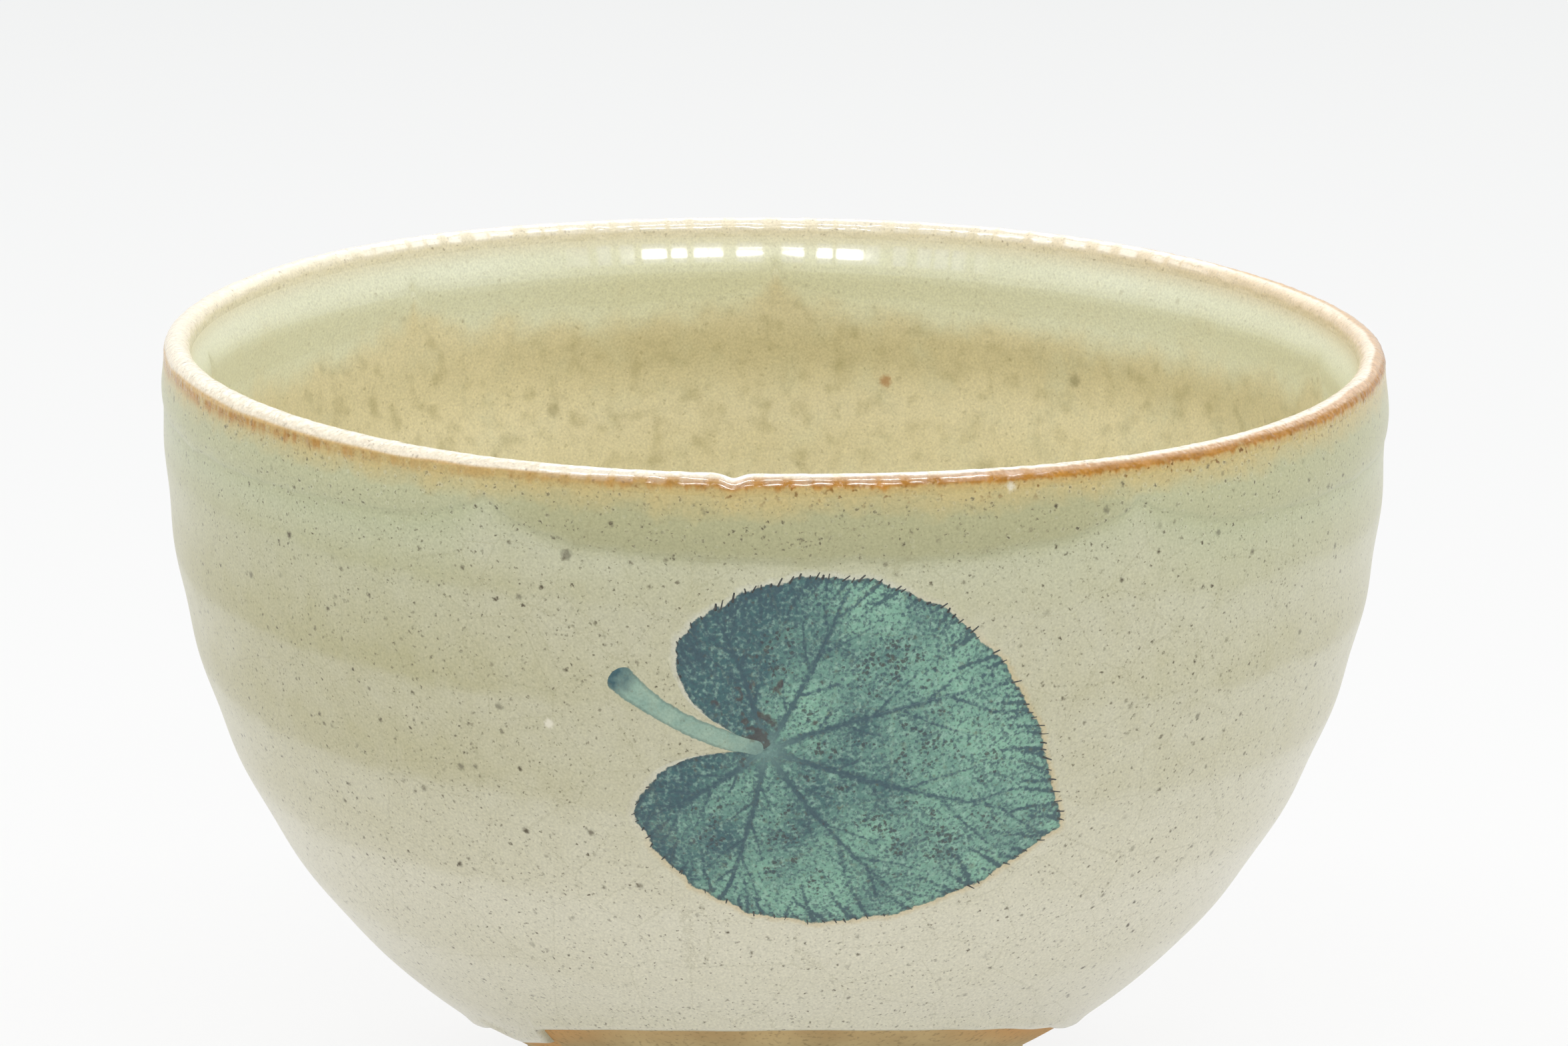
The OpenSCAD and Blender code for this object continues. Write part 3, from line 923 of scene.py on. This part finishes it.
lip_rows = 20
lip_columns = 960
lump_size = 1.0 * MM
lump_t = 0.06 * MM
lip_bead_low = 0.8 * MM
over_out, out_facing = stretch(outside, bowl_h - dip_t, lip_low, lip_rows)
over_in, in_facing = stretch(inside, bowl_h - dip_t, lip_low, lip_rows)
lip_sunk = 0.4 * MM
lip_section = np.concatenate([
    (over_in + dip_t * in_facing)[::-1], (over_out + dip_t * out_facing)[1:],
    (over_out - lip_sunk * out_facing)[::-3], (over_in - lip_sunk * in_facing)[3::3],
])
lip_band = turn("brown_lip", lip_section, lip_columns)
points = points_of(lip_band)
r = np.hypot(points[:, 0], points[:, 1])
off_r, off_z = r - lip_mid[0], points[:, 2] - lip_mid[1]
roll = np.degrees(np.arctan2(np.maximum(off_z, 0), off_r))
paint_outside(lip_band, points, roll)
bead_low = np.where(off_r > 0, by_azimuth(around(points), brown_line) * MM, lip_bead_low)
paint_inside(lip_band, points, lip_beads, -1 * MM, bead_low)
lumpy_share = [(-60, 1), (60, 1), (110, 0.15), (250, 0.15)]
paint(lip_band, out=fade(off_r, -1.2 * MM, 0.2 * MM), lumpy=by_azimuth(around(points), lumpy_share))
from_mid = np.hypot(off_r, np.maximum(off_z, 0))
on_skin = fade(from_mid, lip_r, lip_r + dip_t) * fade(points[:, 2], lip_low, lip_mid[1])
lump = lump_t * on_skin * drift(points, lump_size, 47)
round_mid = np.column_stack([points[:, :2] * (lip_mid[0] / r)[:, None], np.full(len(r), lip_mid[1])])
away = points - round_mid
points += lump[:, None] * away / np.linalg.norm(away, axis=1)[:, None]
move_to(lip_band, hand_thrown(points))
settle(lip_band, "lip_band", iron_lip)

# %% [markdown]
# ## The shape of the leaf
#
# A heart-shaped leaf is printed on the front. Its margin is a radius about the stalk point that
# grows towards the tip and closes at the notch. Its veins are arcs that leave the stalk point and
# fork. All of it is drawn flat and then laid on the bowl, straight back on to the wall.

# %% The flat leaf
leaf_x = -0.8 * MM
leaf_z = bowl_h - 25.9 * MM
leaf_turn = math.radians(-20.5)
notch_dir, notch_half, lobe_round = 189, 17, 25
upper_end = notch_dir - notch_half
lower_end = notch_dir + notch_half - 360


def margin(a):
    """Radius of the leaf about its stalk point, at angles in degrees from its tip."""
    off = np.minimum(np.abs(a - notch_dir), np.abs(a - notch_dir + 360))
    notch = np.clip((off - notch_half) / lobe_round, 0, 1) ** (1 / 3)
    t = np.radians(a)
    body = 16.6 + 4 * np.cos(t) + 0.9 * np.sin(t) + 0.5 * np.sin(np.radians(2 * a))
    waver = 0.14 * np.sin(np.radians(19 * a + 40)) + 0.1 * np.sin(np.radians(37 * a))
    return (body + 8.25 * np.exp(-np.abs(a) / 30) + waver) * notch * MM


def ray(a):
    """Unit vectors of the flat leaf at one or more angles in degrees."""
    return np.stack([np.cos(np.radians(a)), np.sin(np.radians(a))], axis=-1)


def arc(start, length, heading, bend, s):
    """Points of an arc, at one or more shares s of its length."""
    half = bend * s / 2
    chord = length * s * np.sinc(np.radians(half) / math.pi)
    return start + chord[..., None] * ray(heading + half)


def on_bowl(flat, lift):
    """Points of the flat leaf laid on the front of the bowl, lifted off the first coat."""
    c, s = math.cos(leaf_turn), math.sin(leaf_turn)
    x = leaf_x + c * flat[:, 0] - s * flat[:, 1]
    z = leaf_z + s * flat[:, 0] + c * flat[:, 1]
    y = -np.sqrt((line_r(outside, z) + lift) ** 2 - x ** 2)
    return np.column_stack([x, y, z])


print("leaf: %.1f mm from the stalk to the tip" % (margin(0) / MM))

# %% The veins
dice = np.random.default_rng(7)
main_veins = [(0, 0.93, 6), (42, 0.9, -12), (80, 0.9, 10), (122, 0.88, 14),
              (-38, 0.9, 12), (-78, 0.9, -10), (-118, 0.88, -14)]
branches = [(0.24, 44), (0.36, -42), (0.5, 40), (0.62, -38), (0.74, 36), (0.84, -34)]
vein_w, vein_end_w = 0.9 * MM, 0.36 * MM
branch_w, branch_end_w = 0.5 * MM, 0.25 * MM
stalk_point = np.zeros(2)


def tip_inside(start, length, heading, bend):
    """The length at which an arc stays inside the margin."""
    for _ in range(14):
        x, y = arc(start, length, heading, bend, 1.0)
        if math.hypot(x, y) < 0.95 * margin(math.degrees(math.atan2(y, x))):
            break
        length *= 0.88
    return length


# Each vein is its arc's start, length, heading and bend, its two widths, and its two shares of ink.
veins = []
for angle, share, bend in main_veins:
    length = share * margin(angle)
    veins.append((stalk_point, length, angle, bend, vein_w, vein_end_w, 1.0, 0.75))
    for at, turned in branches:
        root = arc(stalk_point, length, angle, bend, at)
        heading = angle + bend * at + turned + dice.normal(0, 4)
        longest = (0.42 * at * length + 1.6 * MM) * dice.uniform(0.8, 1.1)
        reach = tip_inside(root, longest, heading, -turned / 3)
        veins.append((root, reach, heading, -turned / 3, branch_w, branch_end_w, 0.7, 0.45))
print("leaf: %d veins" % len(veins))

# %% The fringe of veinlets
fringe, hairs = [], []
# Each zone is its first and last angle, the spacing of its veinlets in millimetres, and the length
# and thickness of its longest and thickest hairs.
fringe_zones = [(-148, -100, 0.8, 0.4, 0.3), (-100, -30, 1.1, 0.4, 0.28), (-30, 2, 1.2, 0.7, 0.26),
                (2, 55, 0.95, 0.9, 0.32), (55, 140, 0.72, 0.8, 0.42), (140, 160, 0.7, 0.35, 0.4)]
for first, last, spacing, longest, thickest in fringe_zones:
    at = first
    while at < last:
        r = margin(at)
        heading = 0.86 * at + dice.normal(0, 12)
        inward = dice.uniform(1.0, 5.0) * MM
        ink = dice.uniform(0.35, 1.0)
        root = r * ray(at) - inward * ray(heading)
        fringe.append((root, inward, heading, dice.normal(0, 14), 0.36 * MM, 0.5 * MM, 0.35 * ink, ink))
        if ink > 0.42:
            thick = dice.uniform(0.5, 1.0) * thickest * MM
            root = (r - 0.3 * MM) * ray(at)
            out = (0.3 + longest * dice.uniform(0.1, 1.0)) * MM
            hairs.append((root, out, heading, dice.normal(0, 14), thick, 0.6 * thick))
        at += math.degrees(spacing * MM * dice.uniform(0.6, 1.4) / r)
print("margin: %d veinlets and %d hairs" % (len(fringe), len(hairs)))

# %% [markdown]
# ## The leaf's blade
#
# The blade is a ball, flattened: its rings become rings of the leaf, from the margin in to the stalk
# point in front, and out again behind. Round the margin it keeps a narrow rim of glaze in which the
# colour bleeds out. Each vertex is told how far it is from the margin and how near to a vein.

# %% The blade's mesh
blade_columns, blade_rings = 900, 100
back_rings, rim_rings = 10, 9
bleed = 1.2 * MM
print_lift = 0.05 * MM
rim_lift = 0.01 * MM
edge_sunk = 0.06 * MM
print_t = 0.25 * MM

latitude = np.linspace(-0.5 * math.pi, 0.5 * math.pi, blade_rings + 1)
blade = turn("leaf_print", np.column_stack([np.cos(latitude), np.sin(latitude)]), blade_columns)
ball = points_of(blade)
along = np.arctan2(ball[:, 1], ball[:, 0]) / (2 * math.pi) + 0.5
angle = lower_end + along * (upper_end - lower_end)
rank = np.rint(blade_rings * (0.5 + np.arcsin(np.clip(ball[:, 2], -1, 1)) / math.pi)) - back_rings
behind = np.clip(1 + rank / back_rings, 0, 1)
in_front = np.clip(1 - (rank - rim_rings) / (blade_rings - back_rings - rim_rings), 0, 1)
ring = np.where(rank < 0, behind, in_front)
past_margin = np.where(rank < 0, behind ** 8, np.clip(1 - rank / rim_rings, 0, 1))
slim = np.clip(margin(angle) / (8 * MM), 0, 1)
flat = (ring * margin(angle) + bleed * slim * past_margin)[:, None] * ray(angle)
front_lift = rim_lift + (print_lift - rim_lift) * fade(rank, 1, 5)
lift = np.where(rank < 0, -print_t * (1 - behind ** 8), front_lift)
lift[rank == 0] = -edge_sunk
points = on_bowl(flat, lift)
bpy.ops.object.shade_smooth()
print("leaf blade: %d points" % len(points))

# %% What the leaf's vertices know
def nearest(points, line):
    """Distance from each point of the flat leaf to the nearest point of a line, and which one it is."""
    tree = kdtree.KDTree(len(line))
    for i, (x, y) in enumerate(line):
        tree.insert((x, y, 0), i)
    tree.balance()
    found = [tree.find((x, y, 0)) for x, y in points]
    return np.array([f[2] for f in found]), np.array([f[1] for f in found])


def inked(flat, lines):
    """Ink of the nearest line at each point of the flat leaf, softly edged, and the distance to it."""
    share = np.linspace(0, 1, 60)
    gap, which = nearest(flat, np.concatenate([arc(*line[:4], share) for line in lines]))
    width = np.concatenate([line[4] + (line[5] - line[4]) * share for line in lines])[which]
    ink = np.concatenate([line[6] + (line[7] - line[6]) * share for line in lines])[which]
    return ink * np.clip(1 - gap / (0.75 * width), 0, 1), gap


def paint_leaf(piece, flat, points):
    """Paint what the leaf's finish needs on a piece, from its places flat and on the bowl."""
    steps = np.linspace(lower_end, upper_end, 1500)
    to_margin, _ = nearest(flat, margin(steps)[:, None] * ray(steps))
    r = np.hypot(flat[:, 0], flat[:, 1])
    angle = np.degrees(np.arctan2(flat[:, 1], flat[:, 0]))
    vein, gap = inked(flat, veins)
    veinlet, _ = inked(flat, fringe)
    lobes = fade(flat[:, 0], 5 * MM, -9 * MM) * (1 - 0.3 * fade(flat[:, 1], 0, -8 * MM))
    middle = np.exp(-((r - 9 * MM) / (5 * MM)) ** 2) * fade(np.cos(np.radians(angle + 25)), -0.1, 0.6)
    blue = np.clip(0.75 * lobes + 0.24 * middle + 0.14 + 0.4 * drift(points, 5 * MM, 23), 0, 1)
    warm = fade(np.cos(np.radians(angle + 30)) + 0.4 * drift(points, 5 * MM, 29), -0.5, 0.5)
    between = fade(gap, 0.4 * MM, 1.2 * MM) * fade(r, 2 * MM, 5 * MM) * fade(to_margin, 1.5 * MM, 5 * MM)
    paint(piece, edge=np.where(r > margin(angle), -1, 1) * to_margin / MM, vein=vein, veinlet=veinlet,
          between=between, blue=blue, warm=warm, stalk=np.exp(-r / (2 * MM)),
          clot=np.exp(-r / (4 * MM)) * fade(np.cos(np.radians(angle - 150)), -0.3, 0.8))


paint_outside(blade, points)
paint_leaf(blade, flat, points)
move_to(blade, hand_thrown(points))
print("numbers on the blade: %d layers" % len(blade.data.attributes))

# %% [markdown]
# ## The leaf's colour
#
# The print is a blue-green underglaze, bluer in the lobes and greener towards the tip, thin over the
# leaf's small cells and thicker between them. Dark grains of pigment gathered between the veins.
# Veins are pale near the stalk and blue-grey farther out, soft and grainy, and dark clots lie in
# the upper lobe by the notch. Grains are Voronoi dots whose size grows where pigment is thick.

# %% Colours of the leaf
LEAF_ZONES = "blue between veinlet stalk vein clot".split()
print("zones of the leaf:", ", ".join(LEAF_ZONES))


def leaf_colour(add, place):
    """Colour of the leaf inside its margin."""
    blue, between, veinlet, stalk, vein, clot = [
        add("Attribute", attribute_name=zone, give="Fac") for zone in LEAF_ZONES]
    wash = add("TexNoise", [place, 1 / (1.6 * MM), 4.0])
    blue_mix = add("Math", [wash, 0.7, blue], operation="MULTIPLY_ADD")
    flecks = add("TexNoise", [place, 1 / (0.45 * MM), 2.0])

    # Fine grains everywhere, more of them in the lobes, and coarse ones between the veins.
    wobble = add("TexNoise", [place, 1 / (0.3 * MM), 1.0], give="Color")
    pushed = add("VectorMath", [wobble, 0.4 * MM], operation="SCALE")
    ragged = add("VectorMath", [place, pushed], operation="ADD")
    patches = add("TexNoise", [place, 1 / (3.0 * MM), 2.0])
    lobed = add("Math", [blue, 0.2, patches], operation="MULTIPLY_ADD")
    fine_size = add("MapRange", [lobed, 0.38, 0.72, 0.2, 0.56])
    fine = add("TexVoronoi", [ragged, 1 / (0.42 * MM)])
    in_fine = add("Math", [fine_size, fine], operation="SUBTRACT")
    clumps = add("TexNoise", [place, 1 / (2.4 * MM), 1.0])
    clump_step = add("MapRange", [clumps, 0.3, 0.56, 0.0, 0.5])
    coarse_size = add("Math", [between, clump_step], operation="MULTIPLY")
    coarse = add("TexVoronoi", [ragged, 1 / (0.5 * MM)])
    in_coarse = add("Math", [coarse_size, coarse], operation="SUBTRACT")

    # Veinlets of the fringe, then the veins, and dark clots by the notch.
    torn = add("TexNoise", [place, 1 / (0.35 * MM), 2.0])
    grain = add("MapRange", [torn, 0.3, 0.7, -0.3, 0.3])
    veinlet_mix = add("Math", [veinlet, grain], operation="ADD")
    ink = layered(add, "#35505a", [(stalk, 0.1, 0.8, 0.9, "#6f9088")])
    vein_mix = add("Math", [vein, grain], operation="ADD")
    clots = add("TexNoise", [place, 1 / (1.1 * MM), 2.0])
    clotted = add("Math", [clot, 0.4, clots], operation="MULTIPLY_ADD")
    return layered(add, "#84b29a", [
        (blue_mix, 0.25, 1.0, 1.0, "#3a6063"),
        (flecks, 0.48, 0.68, 0.5, "#98bba9"),
        (in_fine, -0.06, 0.14, 0.6, "#38505a"),
        (in_coarse, 0.0, 0.16, 0.8, "#38383c"),
        (veinlet_mix, 0.02, 0.4, 0.88, "#334d57"),
        (vein_mix, 0.08, 0.6, 0.88, ink),
        (clotted, 0.7, 0.8, 0.75, "#453a38"),
    ])


# %% [markdown]
# ## The leaf's margin
#
# Just inside the margin the pigment gathered in a dark line. Just outside, it kept the glaze thin: a
# pale halo at the lobes and a rusty one towards the tip.

# %% Leaf underglaze
# Underglaze pigment, printed and fired under thin glaze: grainy blue-green with soft dark veins.
leaf_green, add, place = new_finish("blue-green leaf underglaze")
edge = add("Attribute", attribute_name="edge", give="Fac")
nibble = add("TexNoise", [place, 1 / (0.6 * MM), 3.0])
nibbled = add("MapRange", [nibble, 0.25, 0.75, -0.18, 0.18])
torn = add("Math", [edge, nibbled], operation="ADD")
lined = layered(add, leaf_colour(add, place), [(torn, 0.45, 0.0, 0.55, "#2f474b")], **SMOOTH)
warm = add("Attribute", attribute_name="warm", give="Fac")
halo = add("Mix", [warm, "#cfd0c6", "#c2aa76"])
printed = layered(add, outside_colour(add, place), [
    (torn, -0.75, -0.05, 0.45, halo), (torn, -0.08, 0.1, 1.0, lined)], **SMOOTH)
colour, grain = specked(add, place, printed, much=0.5)
glossy(add, colour, grain)
settle(blade, "leaf_blade", leaf_green)

# %% [markdown]
# ## Strokes: the stalk, the veins and the hairs of the margin
#
# A stroke of pigment is a ball drawn out along a line and pressed on the bowl. One small ball is
# made once, and each vein and hair is a copy of it with its own mesh. The copies are then joined.

# %% A stroke of pigment
stroke_lift = print_lift + 0.03 * MM


def stroke_blank(name, segments, rings):
    """A ball that strokes are drawn from."""
    bpy.ops.object.select_all(action="DESELECT")
    bpy.ops.mesh.primitive_uv_sphere_add(segments=segments, ring_count=rings, radius=1)
    blank = bpy.context.object
    blank.name = name
    blank.data.name = name
    bpy.ops.object.shade_smooth()
    return blank


def draw_stroke(piece, path, width):
    """Lay a ball along an arc of the flat leaf, with a width for each share of its length."""
    ball = points_of(piece)
    s = 0.5 + np.arcsin(np.clip(ball[:, 2], -1, 1)) / math.pi
    girth = np.hypot(ball[:, 0], ball[:, 1])
    across, up = ball[:, :2].T / np.maximum(girth, 1e-6)
    half = 0.5 * width(s)
    to_end = np.clip(np.minimum(s, 1 - s) * path[1] / half, 0, 1)
    blunt = np.sqrt(to_end * (2 - to_end)) * (girth > 1e-5)
    start, length, heading, bend = path
    side = ray(heading + bend * s + 90)
    flat = arc(start, length, heading, bend, s) + (half * blunt * across)[:, None] * side
    return flat, on_bowl(flat, stroke_lift * up * blunt), s, across * blunt


print("a stroke stands %.2f mm proud" % (stroke_lift / MM))

# %% The stalk
stalk_path = (stalk_point, 15.8 * MM, 190.5, -34)
stalk_w = 1.8 * MM
halo_w = 0.6 * MM


def pigment_width(s):
    """Width of the stalk's pigment, which swells towards its end."""
    return stalk_w * (1.05 + 0.4 * fade(s, 0.6, 1))


def stalk_width(s):
    """Width of the stalk's stroke, with the bare halo on both sides once it is clear of the leaf."""
    return pigment_width(s) + halo_w * fade(s, 0.1, 0.3)


stalk_print = stroke_blank("stalk_print", 64, 120)
flat, points, s, across = draw_stroke(stalk_print, stalk_path, stalk_width)
bare = 1 - pigment_width(s) / stalk_width(s)
paint_outside(stalk_print, points)
paint(stalk_print, run=s, inward=1 - bare - np.abs(across))
move_to(stalk_print, hand_thrown(points))

# Underglaze pigment, brushed in one stroke: a paler, washed green with darker sides and end.
stalk_green, add, place = new_finish("pale green stalk underglaze")
run = add("Attribute", attribute_name="run", give="Fac")
wash = add("TexNoise", [place, 1 / (1.1 * MM), 3.0])
pale = add("Mix", [wash, "#6f9389", "#a2b8a3"])
uneven = add("Math", [wash, 0.22, run], operation="MULTIPLY_ADD")
inward = add("Attribute", attribute_name="inward", give="Fac")
fuzz = add("TexNoise", [place, 1 / (0.4 * MM), 2.0])
blurred = add("Math", [fuzz, 0.24, inward], operation="MULTIPLY_ADD")
lined = layered(add, pale, [(uneven, 0.94, 1.1, 1.0, "#34585f"), (uneven, 0.3, 0.1, 0.8, "#61807c"),
                            (blurred, 0.36, 0.14, 0.6, "#5b7269")])
bled = add("MapRange", [blurred, 0.14, 0.06])
clear = add("MapRange", [run, 0.12, 0.2])
bare = add("Math", [bled, clear], operation="MULTIPLY")
haloed = add("Mix", [bare, lined, outside_colour(add, place)])
colour, grain = specked(add, place, haloed, much=0.5)
glossy(add, colour, grain)
settle(stalk_print, "leaf_stalk", stalk_green)

# %% The veins and the hairs of the margin
blank = stroke_blank("vein_print", 8, 14)
strokes = []
core_share = 0.4


def new_stroke(path, width, hair):
    """A copy of the blank with its own mesh, laid along an arc, that knows its flat places."""
    piece = blank.copy()
    piece.data = blank.data.copy()
    bpy.context.scene.collection.objects.link(piece)
    flat, points, _, _ = draw_stroke(piece, path, width)
    paint(piece, flat_x=flat[:, 0], flat_y=flat[:, 1], hair=np.full(len(flat), hair))
    move_to(piece, points)
    strokes.append(piece)


for *path, width, end_width, _, _ in veins:
    new_stroke(path, lambda s: core_share * (width + (end_width - width) * s), 0.0)
for *path, width, end_width in hairs:
    new_stroke(path, lambda s: width + (end_width - width) * s, 1.0)

print("strokes: %d" % len(strokes))

bpy.data.objects.remove(blank)
bpy.ops.object.select_all(action="DESELECT")
for piece in strokes:
    piece.select_set(True)
bpy.context.view_layer.objects.active = strokes[0]
bpy.ops.object.join()
vein_print = bpy.context.object
vein_print.name = "vein_print"
vein_print.data.name = "vein_print"
points = points_of(vein_print)
flat = np.empty((2, len(points)))
for row, name in zip(flat, ("flat_x", "flat_y")):
    vein_print.data.attributes[name].data.foreach_get("value", row)
paint_leaf(vein_print, flat.T, points)
move_to(vein_print, hand_thrown(points))

# %% Vein underglaze
# Underglaze pigment at its thickest: brown-black hairs, and the leaf's own colour on its veins.
vein_brown, add, place = new_finish("dark brown vein underglaze")
hair = add("Attribute", attribute_name="hair", give="Fac")
grains = add("TexNoise", [place, 1 / (0.35 * MM), 2.0])
pigment = layered(add, "#26282a", [(grains, 0.4, 0.65, 1.0, "#4a4c46")])
drawn = add("Mix", [hair, leaf_colour(add, place), pigment])
glossy(add, drawn, grains)
settle(vein_print, "leaf_veins", vein_brown)
